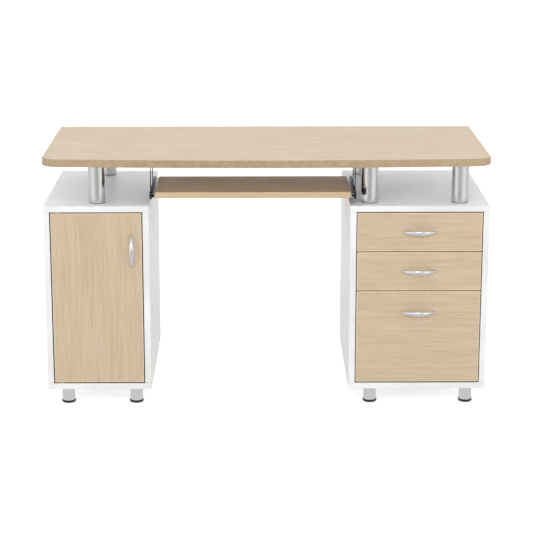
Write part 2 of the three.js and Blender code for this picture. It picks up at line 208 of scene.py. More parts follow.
def white_laminate(name, base, rough_low, rough_high, shift):
    """Pale melamine with a fine pearl texture, faint clouding and scuffed arrises."""
    made, n, shader = material(name, IOR=1.5)
    p = n.coordinates()
    cloud = n.noise(p, (6, 6, 6), shift, 3.0)
    pearl = n.noise(p, (900, 900, 900), shift + 1, 2.0)
    smudge = n.noise(p, (22, 22, 22), shift + 4, 5.0)
    rubbed = n.wear(p, 0.5, 0.68)
    colour = n.mix(n.remap(cloud, 0.35, 0.65), base, WHITE_COOL)
    colour = n.mix(n.remap(pearl, 0.4, 0.7, 0.0, 0.12), colour, WHITE_PEARL)
    colour = n.mix(n.math("MULTIPLY", rubbed, 0.35), colour, WHITE_SCUFFED)
    n.put(shader.inputs["Base Color"], colour)
    rough = n.remap(smudge, 0.35, 0.65, rough_low, rough_high)
    n.put(shader.inputs["Roughness"], n.math("ADD", rough, n.math("MULTIPLY", rubbed, 0.15)))
    n.put(shader.inputs["Normal"], n.bump(pearl, 0.16, 0.12 * MM))
    return made


def metal(name, light, dark, rough, brush, strength, spangle=0.0):
    """Bare or plated metal. The fine scratches run along the axis where brush is smallest."""
    made, n, shader = material(name, Metallic=1.0)
    p = n.coordinates()
    scratch = n.noise(p, brush, 1.0, 3.0)
    haze = n.noise(p, (26, 26, 26), 6.0, 4.0)
    colour = n.mix(n.remap(scratch, 0.3, 0.7), light, dark)
    if spangle:
        cells = n.add("TexVoronoi", {"Vector": p, "Scale": 330.0}).outputs["Color"]
        grey = n.add("SeparateColor", {0: cells}).outputs[0]
        colour = n.mix(n.math("MULTIPLY", grey, spangle), colour, dark)
    rubbed = n.wear(p, 0.4, 0.6)
    n.put(shader.inputs["Base Color"], n.mix(n.math("MULTIPLY", rubbed, 0.4), colour, light))
    hazy = n.remap(haze, 0.3, 0.7, rough - 0.04, rough + 0.05)
    n.put(shader.inputs["Roughness"], n.math("ADD", hazy, n.remap(scratch, 0.3, 0.7, 0.0, 0.05)))
    n.put(shader.inputs["Normal"], n.bump(scratch, strength, 0.08 * MM))
    return made


def dark_coat(name, base, worn, rough, grain, strength):
    """Black paint or plastic, with a fine grain, dust in patches and paler rubbed arrises."""
    made, n, shader = material(name, IOR=1.48)
    p = n.coordinates()
    speck = n.noise(p, (grain, grain, grain), 2.0, 3.0)
    dust = n.noise(p, (40, 40, 40), 4.0, 5.0)
    colour = n.mix(n.remap(dust, 0.4, 0.75, 0.0, 0.5), base, worn)
    n.put(shader.inputs["Base Color"], n.mix(n.wear(p), colour, worn))
    n.put(shader.inputs["Roughness"], n.remap(dust, 0.3, 0.7, rough, rough + 0.14))
    n.put(shader.inputs["Normal"], n.bump(speck, strength, 0.1 * MM))
    return made


# Part of the desktop's lighter tone is a painted sheen on the top.
wood_desktop = pale_wood("wood_desktop", "XYZ", 1.0, DESKTOP_TONE_AND_SHEEN)
# The tray's wood is darkened by painted shade from the desktop above.
wood_tray = pale_wood("wood_tray", "XYZ", 14.0, TRAY_PAINTED_SHADE, sheen=0.12)
wood_door = pale_wood("wood_door", "ZXY", 27.0, FRONT_TONE)
wood_fronts = [pale_wood(f"wood_{name}", "XZY", 40.0 + 11 * i, FRONT_TONE)
               for i, name in enumerate(DRAWERS)]
edge_across = wood_edge("wood_edge_across", "XYZ", 2.0, *CREAM)
edge_upright = wood_edge("wood_edge_upright", "ZXY", 5.0, *CREAM)
edge_desktop = wood_edge("wood_edge_desktop", "XYZ", 7.0, *TAN)
edge_tray = wood_edge("wood_edge_tray", "XYZ", 9.0, *TRAY_TAN)
white_face = white_laminate("white_face", WHITE, 0.34, 0.44, shift=0.0)
white_edge = white_laminate("white_edge", srgb(221, 221, 220), 0.3, 0.38, shift=8.0)
backing = white_laminate("backing_sheet", srgb(240, 239, 236), 0.5, 0.6, shift=21.0)
drawer_foil = white_laminate("drawer_foil", srgb(229, 227, 220), 0.5, 0.62, shift=15.0)
tube_steel = metal("tube_steel", srgb(224, 224, 223), srgb(206, 206, 205),
                   rough=0.2, brush=(60, 60, 3200), strength=0.2)
satin_chrome = metal("satin_chrome", srgb(226, 227, 229), srgb(208, 209, 212),
                     rough=0.28, brush=(300, 1500, 1500), strength=0.12)
zinc = metal("zinc_plate", srgb(192, 195, 199), srgb(150, 154, 160),
             rough=0.34, brush=(900, 60, 900), strength=0.2, spangle=0.5)
black_paint = dark_coat("black_paint", srgb(30, 30, 32), srgb(66, 66, 68),
                        rough=0.38, grain=1400, strength=0.3)
# Dark brown for the strips of painted shade in the gaps beside the fronts.
gap_shade_paint = dark_coat("gap_shade_paint", srgb(34, 29, 25), srgb(58, 50, 44),
                        rough=0.7, grain=1800, strength=0.3)
black_moulded = dark_coat("black_moulded", srgb(26, 26, 28), srgb(58, 58, 60),
                          rough=0.42, grain=2400, strength=0.35)


# ---------------------------------------------------------------- mesh helpers

AXES = {"X": 0, "Y": 1, "Z": 2}
# The faces of a box whose corners are numbered 4x + 2y + z, with x, y and z each 0 or 1.
QUADS = ((0, 1, 3, 2), (4, 6, 7, 5), (0, 4, 5, 1), (2, 3, 7, 6), (0, 2, 6, 4), (1, 5, 7, 3))


def make(name, bm, finishes, body, stands_for=(), even=False):
    """Turns the bmesh into a named piece that rides on a body and stands for CAD nodes. even
    shades its broad faces flat up to the softened edges."""
    mesh = bpy.data.meshes.new(name)
    bmesh.ops.recalc_face_normals(bm, faces=bm.faces[:])
    bm.to_mesh(mesh)
    bm.free()
    for finish in finishes:
        mesh.materials.append(finish)
    for polygon in mesh.polygons:
        polygon.use_smooth = True
    mesh.set_sharp_from_angle(angle=SHADED_SHARP)
    piece = bpy.data.objects.new(name, mesh)
    bpy.context.scene.collection.objects.link(piece)
    if even:
        piece.modifiers.new("even_normals", "WEIGHTED_NORMAL").keep_sharp = True
    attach(piece, body)
    if stands_for:
        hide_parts(*stands_for)


def soften(bm, edges, radius, segments):
    bmesh.ops.bevel(bm, geom=edges, offset=radius, segments=segments, profile=0.5,
                    affect="EDGES", clamp_overlap=True)


def rim_faces(bm, faces, width, wear, band=None):
    """Insets each face, so that wear fades out over a rim of that width. band is how wide a
    strip of the edge's finish shows round the face first."""
    if band is not None:
        before = set(bm.faces)
        bmesh.ops.inset_individual(bm, faces=faces, thickness=band, use_even_offset=True)
        for face in set(bm.faces) - before:
            face.material_index = 1
    bmesh.ops.inset_individual(bm, faces=faces, thickness=width, use_even_offset=True)
    for face in faces:
        for vertex in face.verts:
            vertex[wear] = 0.0


def slab(low, high, broad, arris, band=None, rim=5 * MM):
    """A board with softened arrises. Material 0 is on its two broad faces and 1 on its edges."""
    bm = bmesh.new()
    wear = bm.verts.layers.float.new("wear")
    corners = [bm.verts.new((x, y, z)) for x in (low[0], high[0]) for y in (low[1], high[1])
               for z in (low[2], high[2])]
    for quad in QUADS:
        bm.faces.new([corners[i] for i in quad])
    bmesh.ops.recalc_face_normals(bm, faces=bm.faces[:])
    soften(bm, bm.edges[:], arris, 3)
    for vertex in bm.verts:
        vertex[wear] = 1.0
    axis = AXES[broad]
    flat = [f for f in bm.faces if max(abs(c) for c in f.normal) > 0.9999]
    for face in bm.faces:
        face.material_index = 1
    faces = [f for f in flat if abs(f.normal[axis]) > 0.9]
    edges = [f for f in flat if abs(f.normal[axis]) <= 0.9]
    for face in faces:
        face.material_index = 0
    thickness = high[axis] - low[axis]
    rim_faces(bm, faces, rim, wear, band)
    rim_faces(bm, edges, min(rim, thickness * 0.3), wear)
    return bm


def board(name, node, finishes, body, broad, arris, band=None):
    """The slab that stands for a CAD board."""
    low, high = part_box(node)
    make(name, slab(low, high, broad, arris, band), finishes, body, [node], even=True)


def rectangle(left, right, bottom, top):
    """A section for prism."""
    return [(left, bottom), (right, bottom), (right, top), (left, top)]


def prism(bm, section, start, end, arris, segments=2):
    """A closed section of (x, z) points carried along Y, with its sharp edges softened."""
    front = [bm.verts.new((x, start, z)) for x, z in section]
    back = [bm.verts.new((x, end, z)) for x, z in section]
    count = len(section)
    made = [bm.faces.new(front), bm.faces.new(back[::-1])]
    for i in range(count):
        j = (i + 1) % count
        made.append(bm.faces.new((front[i], back[i], back[j], front[j])))
    bmesh.ops.recalc_face_normals(bm, faces=made)
    mine = {e for f in made for e in f.edges}
    soften(bm, [e for e in mine if e.calc_face_angle(0) > SOFTENED], arris, segments)


def circle(bm, place, radius, heights):
    """Vertices round the local Z of place, one at each of the heights."""
    turns = [2 * math.pi * i / len(heights) for i in range(len(heights))]
    return [bm.verts.new(place @ Vector((radius * math.cos(a), radius * math.sin(a), height)))
            for a, height in zip(turns, heights)]


def skin(bm, rings):
    """Faces from each ring of vertices to the next. A ring may be one vertex, repeated."""
    for lower, upper in zip(rings, rings[1:]):
        for i in range(len(lower)):
            j = (i + 1) % len(lower)
            around = []
            for vertex in (lower[i], lower[j], upper[j], upper[i]):
                if vertex not in around:
                    around.append(vertex)
            bm.faces.new(around)


def lathe(bm, profile, place, segments):
    """(radius, height) points turned round the local Z of place. A radius of 0 closes an end."""
    rings = []
    for radius, height in profile:
        if radius == 0:
            rings.append([bm.verts.new(place @ Vector((0, 0, height)))] * segments)
        else:
            rings.append(circle(bm, place, radius, [height] * segments))
    skin(bm, rings)


def facing(point, direction):
    """A place at point whose local Z looks in that direction."""
    turn = Vector(direction).to_track_quat("Z", "Y").to_matrix().to_4x4()
    return Matrix.Translation(Vector(point)) @ turn


def upright(low, high):
    """A place on the floor, on the upright axis of a box, whose local Z looks up."""
    return Matrix.Translation(((low.x + high.x) / 2, (low.y + high.y) / 2, 0))


def screw_head(bm, point, direction, radius, height):
    """A domed head with a cross recess. point is on the surface that it bears on."""
    place = facing(point, direction)
    segments = 32
    arm = segments // 4

    def rise(step, i):
        level = height * (0.45 + 0.55 * math.sqrt(max(0.0, 1 - step * step)))
        in_arm = min(i % arm, arm - i % arm) * step <= 0.75
        if step < 0.6 and in_arm:
            level -= height * 0.6
        return level

    rings = [circle(bm, place, radius, [0] * segments)]
    for step in (1.0, 0.94, 0.8, 0.62, 0.58, 0.4, 0.2):
        rings.append(circle(bm, place, step * radius, [rise(step, i) for i in range(segments)]))
    skin(bm, rings)
    bm.faces.new(rings[-1])
    bm.faces.new(rings[0][::-1])


def screws(name, places, direction, body, radius, height):
    bm = bmesh.new()
    for point in places:
        screw_head(bm, point, direction, radius, height)
    make(name, bm, [zinc], body)


# ---------------------------------------------------------------- desktop and tray

def desktop():
    """The CAD outline with rounded arrises, a banded edge and a pale backing sheet below."""
    bm = bmesh.new()
    bm.from_mesh(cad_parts["desktop"].data)
    bmesh.ops.remove_doubles(bm, verts=bm.verts[:], dist=1e-6)
    bmesh.ops.dissolve_limit(bm, angle_limit=0.001, verts=bm.verts[:], edges=bm.edges[:])
    outline = [e for e in bm.edges if len(e.link_faces) == 2
               and any(abs(f.normal.z) > 0.99 for f in e.link_faces)
               and any(abs(f.normal.z) < 0.01 for f in e.link_faces)]
    wear = bm.verts.layers.float.new("wear")
    soften(bm, outline, 2.2 * MM, 4)
    for face in bm.faces:
        face.material_index = 1
    for vertex in bm.verts:
        vertex[wear] = 1.0
    broad = [f for f in bm.faces if abs(f.normal.z) > 0.9999]
    for face in broad:
        face.material_index = 0
    rim_faces(bm, broad, 9 * MM, wear, band=0.5 * MM)
    for face in bm.faces:
        if face.material_index == 0 and face.normal.z < -0.9:
            face.material_index = 2
    finishes = [wood_desktop, edge_desktop, backing]
    make("desktop_board", bm, finishes, ROOT, ["desktop"], even=True)


def tray():
    board("keyboard_tray_board", "keyboard_tray", [wood_tray, edge_tray], "keyboard_tray",
          "Z", arris=1.0 * MM, band=0.5 * MM)
    for side, towards in (("left", 1), ("right", -1)):
        tray_slide(side, towards)


def channel(face, towards, centre, height, depth, sheet, lip):
    """Section of a C-shaped rail with its back at face and turned-in lips."""
    half = height / 2
    points = [(0, -half), (depth, -half), (depth, lip - half), (depth - sheet, lip - half),
              (depth - sheet, sheet - half), (sheet, sheet - half), (sheet, half - sheet),
              (depth - sheet, half - sheet), (depth - sheet, half - lip), (depth, half - lip),
              (depth, half), (0, half)]
    return [(face + towards * x, centre + z) for x, z in points]


def tray_slide(side, towards):
    """The rail, its straps, the runner and the balls. towards is the X direction to the tray."""
    low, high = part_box(f"tray_hanger_{side}")
    run_low, run_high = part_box(f"tray_runner_{side}")
    face = run_low.x - 3 * MM if towards > 0 else run_high.x + 3 * MM
    centre = (run_low.z + run_high.z) / 2
    rail = bmesh.new()
    section = channel(face, towards, centre, height=20 * MM, depth=7 * MM, sheet=1.2 * MM,
                      lip=2.6 * MM)
    prism(rail, section, low.y, high.y, 0.3 * MM)
    make(f"tray_rail_{side}", rail, [black_paint], ROOT, [f"tray_hanger_{side}"])
    tray_straps(side, towards, low, high, face, centre)

    space = 15.7 * MM
    wall = face + towards * space
    plate = 1.3 * MM
    half = 8 * MM
    arm = 5.4 * MM
    tip = 3.2 * MM - space
    web = -plate - 1.4 * MM
    points = [(0, -half), (-plate, -half), (-plate, -arm), (tip, -arm), (tip, -arm + plate),
              (web, -arm + plate), (web, arm - plate), (tip, arm - plate), (tip, arm),
              (-plate, arm), (-plate, half), (0, half)]
    runner = bmesh.new()
    prism(runner, [(wall + towards * x, centre + z) for x, z in points], run_low.y, run_high.y,
          0.3 * MM)
    make(f"tray_runner_bar_{side}", runner, [zinc], "keyboard_tray",
         [f"tray_runner_{side}"])
    ball_cage(f"tray_{side}", face + towards * 4.6 * MM, centre, offset=7.1 * MM,
              radius=1.35 * MM, start=low.y + 30 * MM, length=120 * MM)


def tray_straps(side, towards, low, high, face, centre):
    """Two bent straps that hang the rail from the desktop, with their rivets and screws."""
    sheet = 1.5 * MM
    width = 28 * MM
    bend = 2.4 * MM
    flange = (high.x - low.x) - 7 * MM
    top = high.z
    under = top - sheet
    quarter = [math.pi / 2 * i / 5 for i in range(6)]
    rivet = [(3.0 * MM, 0), (3.0 * MM, 0.35 * MM), (2.2 * MM, 0.9 * MM), (1.1 * MM, 1.2 * MM),
             (0, 1.25 * MM)]
    straps = bmesh.new()
    rivets = bmesh.new()
    bolts = bmesh.new()
    for setback in (54 * MM, 162 * MM):
        middle = low.y + setback
        turn_x, turn_z = face - towards * bend, under - bend
        inner, outer = ([(turn_x + towards * r * math.cos(a), turn_z + r * math.sin(a))
                         for a in quarter] for r in (bend, bend + sheet))
        section = [(face, low.z), *inner, (face - towards * flange, under),
                   (face - towards * flange, top), *outer[::-1], (face + towards * sheet, low.z)]
        prism(straps, section, middle - width / 2, middle + width / 2, 0.3 * MM)
        for offset in (-7 * MM, 7 * MM):
            point = (face + towards * 1.2 * MM, middle + offset, centre)
            lathe(rivets, rivet, facing(point, (towards, 0, 0)), 20)
        screw_head(bolts, (face - towards * (flange * 0.55), middle, under), (0, 0, -1),
                   radius=3.4 * MM, height=1.8 * MM)
    make(f"tray_straps_{side}", straps, [black_paint], ROOT)
    make(f"tray_strap_rivets_{side}", rivets, [zinc], ROOT)
    make(f"tray_strap_screws_{side}", bolts, [zinc], ROOT)


def ball_cage(name, x, centre, offset, radius, start, length):
    """A thin strip above and below the runner, holding steel balls. It stays by the fixed rail."""
    cage = bmesh.new()
    balls = bmesh.new()
    half = 2.3 * MM
    thin = 0.35 * MM
    count = 8
    bands = 8
    latitudes = [math.pi * (k / bands - 0.5) for k in range(1, bands)]
    ball = [(0, -radius), *((radius * math.cos(a), radius * math.sin(a)) for a in latitudes),
            (0, radius)]
    for side in (-1, 1):
        z = centre + side * offset
        section = rectangle(x - half, x + half, z - thin, z + thin)
        prism(cage, section, start, start + length, 0.12 * MM, 1)
        for i in range(count):
            y = start + length * (i + 0.5) / count
            lathe(balls, ball, Matrix.Translation((x, y, z)), 14)
    make(f"{name}_ball_cage", cage, [zinc], ROOT)
    make(f"{name}_balls", balls, [satin_chrome], ROOT)


# ---------------------------------------------------------------- cabinets

# The boards of a cabinet, each with the axis that its broad faces look along.
CABINET_BOARDS = (("top", "Z"), ("bottom", "Z"), ("outer_side", "X"), ("inner_side", "X"),
                  ("back", "Y"))


def cabinet(name):
    """The five boards, the caps over the back board's fixings and the cam covers."""
    for part, broad in CABINET_BOARDS:
        node = f"{name}_{part}"
        board(f"{node}_board", node, [white_face, white_edge], ROOT, broad,
              arris=0.5 * MM)
    low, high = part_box(f"{name}_back")
    margin = 12 * MM
    rows = [low.z + (high.z - low.z) * share for share in (0.08, 0.36, 0.64, 0.92)]
    cap = [(5.5 * MM, -1.2 * MM), (5.5 * MM, -0.35 * MM), (5.2 * MM, -0.1 * MM), (0, -0.02 * MM)]
    caps = bmesh.new()
    for x in (low.x + margin, high.x - margin):
        for z in rows:
            lathe(caps, cap, facing((x, high.y, z), BACKWARD), 28)
    make(f"{name}_back_caps", caps, [white_edge], ROOT)
    cam_covers(name)


def cam_covers(name):
    """Round covers over the cam fittings, on the inner faces of the two sides."""
    low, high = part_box(f"{name}_outer_side")
    left_face = min(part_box(f"{name}_outer_side")[1].x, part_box(f"{name}_inner_side")[1].x)
    right_face = max(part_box(f"{name}_outer_side")[0].x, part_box(f"{name}_inner_side")[0].x)
    cover = [(8.2 * MM, 0), (8.2 * MM, 0.5 * MM), (7.4 * MM, 0.9 * MM), (6.2 * MM, 0.7 * MM),
             (0, 0.7 * MM)]
    covers = bmesh.new()
    for face, towards in ((left_face, 1), (right_face, -1)):
        for y in (low.y + 62 * MM, high.y - 60 * MM):
            for z in (low.z + 33 * MM, high.z - 33 * MM):
                lathe(covers, cover, facing((face, y, z), (towards, 0, 0)), 32)
    make(f"{name}_cam_covers", covers, [white_edge], ROOT)


def painted_gap_shade(name, low, high, clear_from=0.0, clear_to=0.0):
    """Dark strips of painted shade that line the opening from low to high, beside its fronts,
    for the shade in the gaps round them. The upper and lower ones are left open from clear_from
    to clear_to, where the door's pivot pins pass."""
    thin = 0.35 * MM
    thick = 1.1 * MM
    front, back = low.y + 0.6 * MM, low.y + 17 * MM
    shade_lines = bmesh.new()

    def strip(left, right, bottom, top):
        prism(shade_lines, rectangle(left, right, bottom, top), front, back, 0.08 * MM, 1)

    strip(low.x, low.x + thin, low.z, high.z)
    strip(high.x - thick, high.x, low.z, high.z)
    inner_left, inner_right = low.x + 2 * thin, high.x - thick - thin
    for bottom, top in ((low.z, low.z + thick), (high.z - thick, high.z)):
        if clear_to > clear_from:
            strip(inner_left, clear_from, bottom, top)
            strip(clear_to, inner_right, bottom, top)
        else:
            strip(inner_left, inner_right, bottom, top)
    make(f"{name}_painted_gap_shade", shade_lines, [gap_shade_paint], ROOT)


def openings():
    """The strips of painted shade in the opening of each cabinet."""
    for name in ("left_cabinet", "right_cabinet"):
        sides = [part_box(f"{name}_outer_side"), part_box(f"{name}_inner_side")]
        left_box, right_box = sorted(sides, key=lambda corners: corners[0].x)
        low = Vector((left_box[1].x, left_box[0].y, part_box(f"{name}_bottom")[1].z))
        high = Vector((right_box[0].x, left_box[1].y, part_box(f"{name}_top")[0].z))
        if name == "left_cabinet":
            pin_low, pin_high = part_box("door_pivot_pin_lower")
            painted_gap_shade(name, low, high, pin_low.x - 1 * MM, pin_high.x + 1 * MM)
        else:
            painted_gap_shade(name, low, high)


def shelf():
    """The shelf of the left cabinet on its four pins."""
    node = "left_cabinet_shelf"
    board("shelf_board", node, [white_face, white_edge], ROOT, "Z",
          arris=0.5 * MM)
    low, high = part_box(node)
    pin = [(6.5 * MM, 0), (6.5 * MM, 0.7 * MM), (2.5 * MM, 1.0 * MM), (2.5 * MM, 8 * MM),
           (1.9 * MM, 8.6 * MM), (0, 8.6 * MM)]
    below = low.z - 2.6 * MM
    pins = bmesh.new()
    for x, towards in ((low.x - 1 * MM, 1), (high.x + 1 * MM, -1)):
        for y in (low.y + 50 * MM, high.y - 50 * MM):
            lathe(pins, pin, facing((x, y, below), (towards, 0, 0)), 24)
    make("shelf_pins", pins, [zinc], ROOT)


def post(node):
    """Steel tube with rolled ends, between two thin black rings. The rings are painted shade: a
    dark line where the tube meets the board at each end.
    """
    low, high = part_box(node)
    radius = (high.x - low.x) / 2
    place = upright(low, high)
    shade_ring = 0.9 * MM
    bottom, top = low.z + shade_ring, high.z - shade_ring
    # The rolled end, as (distance in from the tube's surface, distance from its end).
    roll = ((4 * MM, 0), (1.2 * MM, 0), (0.35 * MM, 0.3 * MM), (0, 1.1 * MM), (0, 4 * MM))
    profile = [(radius - inward, bottom + along) for inward, along in roll]
    profile += [(radius - inward, top - along) for inward, along in reversed(roll)]
    tube = bmesh.new()
    lathe(tube, profile, place, 72)
    make(f"{node}_tube", tube, [tube_steel], ROOT, [node])
    # The black rings are painted contact shade at the tube's ends.
    rings = bmesh.new()
    for base in (low.z, top):
        lathe(rings, [(radius - 5 * MM, base), (radius - 0.8 * MM, base),
                      (radius - 0.3 * MM, base + shade_ring * 0.5), (radius - 0.8 * MM, base + shade_ring),
                      (radius - 5 * MM, base + shade_ring), (radius - 5 * MM, base)], place, 56)
    make(f"{node}_rings", rings, [black_moulded], ROOT)


def foot(node):
    """Steel tube in a wider black glide with a rounded shoulder and a chamfered sole."""
    low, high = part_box(node)
    cap = (high.x - low.x) / 2
    radius = cap - 2 * MM
    bore = radius + 0.15 * MM
    place = upright(low, high)
    tube = bmesh.new()
    lathe(tube, [(radius - 1.5 * MM, 7 * MM), (radius, 7 * MM), (radius, 10 * MM),
                 (radius, high.z - 3 * MM), (radius, high.z - 0.8 * MM),
                 (radius - 0.5 * MM, high.z), (radius - 4 * MM, high.z)], place, 64)
    make(f"{node}_tube", tube, [tube_steel], ROOT, [node])
    glide = bmesh.new()
    lathe(glide, [(0, 0), (cap - 4.5 * MM, 0), (cap - 3.2 * MM, 0.2 * MM),
                  (cap - 1.2 * MM, 1.6 * MM), (cap - 0.3 * MM, 3.2 * MM), (cap, 5 * MM),
                  (cap, 6.8 * MM), (cap - 0.35 * MM, 7.6 * MM), (cap - 1.0 * MM, 8 * MM),
                  (bore, 8 * MM), (bore, 6 * MM), (0, 6 * MM)], place, 64)
    make(f"{node}_glide", glide, [black_moulded], ROOT)


# ---------------------------------------------------------------- door and drawers

# Shares of half a handle's length, from its middle: where its feet and its screws are.
HANDLE_FOOT = 0.86
HANDLE_SCREW = 0.84


def handle(node, body, vertical):
    """A bow that tapers to a point at both ends, on two short feet."""
    low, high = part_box(node)
    middle = (low + high) / 2
    along = Vector((0, 0, 1)) if vertical else Vector((1, 0, 0))
    across = Vector((1, 0, 0)) if vertical else Vector((0, 0, 1))
    out = Vector((0, -1, 0))
    half = ((high - low).dot(along)) / 2
    project = high.y - low.y
    base = Vector((middle.x, high.y, middle.z))
    reach = half - 1.2 * MM
    clear = 1.5 * MM
    thick = 3.1 * MM
    thin = 0.45 * MM
    rise = project - thick - clear
    sections = 56
    around = 20
    bm = bmesh.new()
    rings = []
    for i in range(sections + 1):
        u = -math.cos(math.pi * i / sections)
        centre = along * (u * reach) + out * (clear + rise * (1 - u * u))
        tangent = (along * reach - out * (2 * rise * u)).normalized()
        normal = (out - tangent * out.dot(tangent)).normalized()
        fullness = max(0.0, 1 - abs(u) ** 2.1)
        tall = 0.35 * MM + 6.1 * MM * fullness ** 0.78
        deep = thin + (thick - thin) * fullness ** 0.6
        ring = []
        for k in range(around):
            angle = 2 * math.pi * k / around
            c, s = math.cos(angle), math.sin(angle)
            flat = deep * (s if s > 0 else s * 0.7)
            ring.append(bm.verts.new(base + centre + across * (tall * c) + normal * flat))
        rings.append(ring)
    skin(bm, rings)
    bm.faces.new(rings[0])
    bm.faces.new(rings[-1][::-1])
    make(f"{node}_bow", bm, [satin_chrome], body, [node])
    feet = bmesh.new()
    depth = clear + rise * (1 - HANDLE_FOOT ** 2) - 0.6 * MM
    profile = [(2.7 * MM, 0), (2.7 * MM, 0.4 * MM), (2.1 * MM, 1.2 * MM), (2.0 * MM, depth),
               (0, depth)]
    for side in (-1, 1):
        lathe(feet, profile, facing(base + along * (side * reach * HANDLE_FOOT), out), 24)
    make(f"{node}_feet", feet, [satin_chrome], body)


def door():
    """The panel, its handle and pivot pins, and the catch that holds it shut."""
    board("door_panel", "door", [wood_door, edge_upright], "door", "Y",
          arris=0.7 * MM, band=1.0 * MM)
    handle("door_handle", "door", vertical=True)
    for node in ("door_pivot_pin_upper", "door_pivot_pin_lower"):
        finish_cad(node, zinc)
    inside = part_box("door")[1].y
    grip_low, grip_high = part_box("door_handle")
    reach = (grip_high.z - grip_low.z) / 2 * HANDLE_SCREW
    x, z = (grip_low.x + grip_high.x) / 2, (grip_low.z + grip_high.z) / 2
    screws("door_handle_screws", [(x, inside, z - reach), (x, inside, z + reach)], BACKWARD,
           "door", radius=3.6 * MM, height=1.9 * MM)
    catch()
    strike()


def finish_cad(node, finish):
    """A CAD part that is right as it is takes the finish."""
    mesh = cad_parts[node].data
    mesh.materials.clear()
    mesh.materials.append(finish)


def catch():
    """The magnetic catch: a moulded body with an ear at each end, and two pole plates."""
    low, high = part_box("door_catch")
    ear = 8 * MM
    under_ear = high.z - 4 * MM
    section = [(low.x, under_ear), (low.x + ear, under_ear), (low.x + ear, low.z),
               (high.x - ear, low.z), (high.x - ear, under_ear), (high.x, under_ear),
               (high.x, high.z), (low.x, high.z)]
    body = bmesh.new()
    prism(body, section, low.y + 0.6 * MM, high.y, 0.6 * MM, 3)
    make("door_catch_body", body, [black_moulded], ROOT, ["door_catch"])
    poles = bmesh.new()
    for z in (low.z + 3.2 * MM, low.z + 7.6 * MM):
        section = rectangle(low.x + ear + 3 * MM, high.x - ear - 3 * MM, z, z + 1.4 * MM)
        prism(poles, section, low.y, low.y + 6 * MM, 0.2 * MM)
    make("door_catch_poles", poles, [zinc], ROOT)


def strike():
    """The plate on the door that the catch holds, with its two screws."""
    low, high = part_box("door_strike_plate")
    plate = bmesh.new()
    prism(plate, rectangle(low.x, high.x, low.z, high.z), low.y, high.y, 0.4 * MM, 3)
    make("door_strike", plate, [zinc], "door", ["door_strike_plate"])
    y, z = high.y - 0.9 * MM, (low.z + high.z) / 2
    screws("door_strike_screws", [(low.x + 5 * MM, y, z), (high.x - 5 * MM, y, z)], BACKWARD,
           "door", radius=2.4 * MM, height=1.0 * MM)


def drawer(name, finish):
    """The front, its handle, the box behind it and a slide on each side."""
    board(f"{name}_panel", f"{name}_front", [finish, edge_across], name, "Y",
          arris=0.7 * MM, band=1.0 * MM)
    handle(f"{name}_handle", name, vertical=False)
    drawer_box(name)
    for side, towards in (("left", 1), ("right", -1)):
        drawer_slide(name, side, towards)


def drawer_box(name):
    """Two sides, a back and an inner front with rounded top edges, a thin bottom and the screws."""
    low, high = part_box(f"{name}_box")
    wall = 12 * MM
    inset = wall + 0.2 * MM
    inside = low.y + wall
    parts = {
        "side_left": (low, (low.x + wall, high.y, high.z), "X"),
        "side_right": ((high.x - wall, low.y, low.z), high, "X"),
        "inner_front": ((low.x + inset, low.y, low.z), (high.x - inset, inside, high.z), "Y"),
        "back": ((low.x + inset, high.y - wall, low.z),
                 (high.x - inset, high.y, high.z - 4 * MM), "Y"),
    }
    for part, (near, far, broad) in parts.items():
        make(f"{name}_{part}", slab(near, far, broad, arris=1.1 * MM, rim=4 * MM),
             [drawer_foil, drawer_foil], name, [f"{name}_box"], even=True)
    board(f"{name}_base", f"{name}_bottom", [drawer_foil, drawer_foil], name, "Z",
          arris=0.4 * MM)
    rows = (low.z + (high.z - low.z) * 0.25, low.z + (high.z - low.z) * 0.75)
    places = [(x, inside, z) for x in (low.x + 45 * MM, high.x - 45 * MM) for z in rows]
    screws(f"{name}_front_screws", places, BACKWARD, name, radius=3.6 * MM, height=1.4 * MM)
    grip_low, grip_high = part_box(f"{name}_handle")
    x, z = (grip_low.x + grip_high.x) / 2, (grip_low.z + grip_high.z) / 2
    reach = (grip_high.x - grip_low.x) / 2 * HANDLE_SCREW
    screws(f"{name}_handle_screws", [(x - reach, inside, z), (x + reach, inside, z)], BACKWARD,
           name, radius=3.6 * MM, height=1.9 * MM)


def drawer_slide(name, side, towards):
    """The rail and its screws, the runner and the balls. towards is the X direction to the box."""
    low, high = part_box(f"{name}_rail_{side}")
    run_low, run_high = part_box(f"{name}_runner_{side}")
    face = low.x if towards > 0 else high.x
    centre = (low.z + high.z) / 2
    rail = bmesh.new()
    section = channel(face, towards, centre, height=35 * MM, depth=8.5 * MM, sheet=1.2 * MM,
                      lip=3.6 * MM)
    prism(rail, section, low.y, high.y, 0.35 * MM)
    make(f"{name}_slide_rail_{side}", rail, [zinc], ROOT, [f"{name}_rail_{side}"])

    wall = run_high.x if towards > 0 else run_low.x
    space = abs(wall - face)
    half = 11.8 * MM
    plate = 1.3 * MM
    tip = space - 4.2 * MM
    points = [(0, -half), (-tip, -half), (-tip, -half + plate), (-plate, -half + plate),
              (-plate, half - plate), (-tip, half - plate), (-tip, half), (0, half)]
    runner = bmesh.new()
    prism(runner, [(wall + towards * x, centre + z) for x, z in points], run_low.y, run_high.y,
          0.35 * MM)
    make(f"{name}_slide_runner_{side}", runner, [zinc], name,
         [f"{name}_runner_{side}"])
    ball_cage(f"{name}_{side}", face + towards * 4.8 * MM, centre, offset=14.0 * MM,
              radius=1.5 * MM, start=low.y + 25 * MM, length=190 * MM)
    heads = [(face + towards * 1.2 * MM, y, centre)
             for y in (low.y + 40 * MM, low.y + 225 * MM, high.y - 40 * MM)]
    screws(f"{name}_rail_screws_{side}", heads, (towards, 0, 0), ROOT, radius=3.4 * MM,
           height=1.2 * MM)


# ---------------------------------------------------------------- the desk

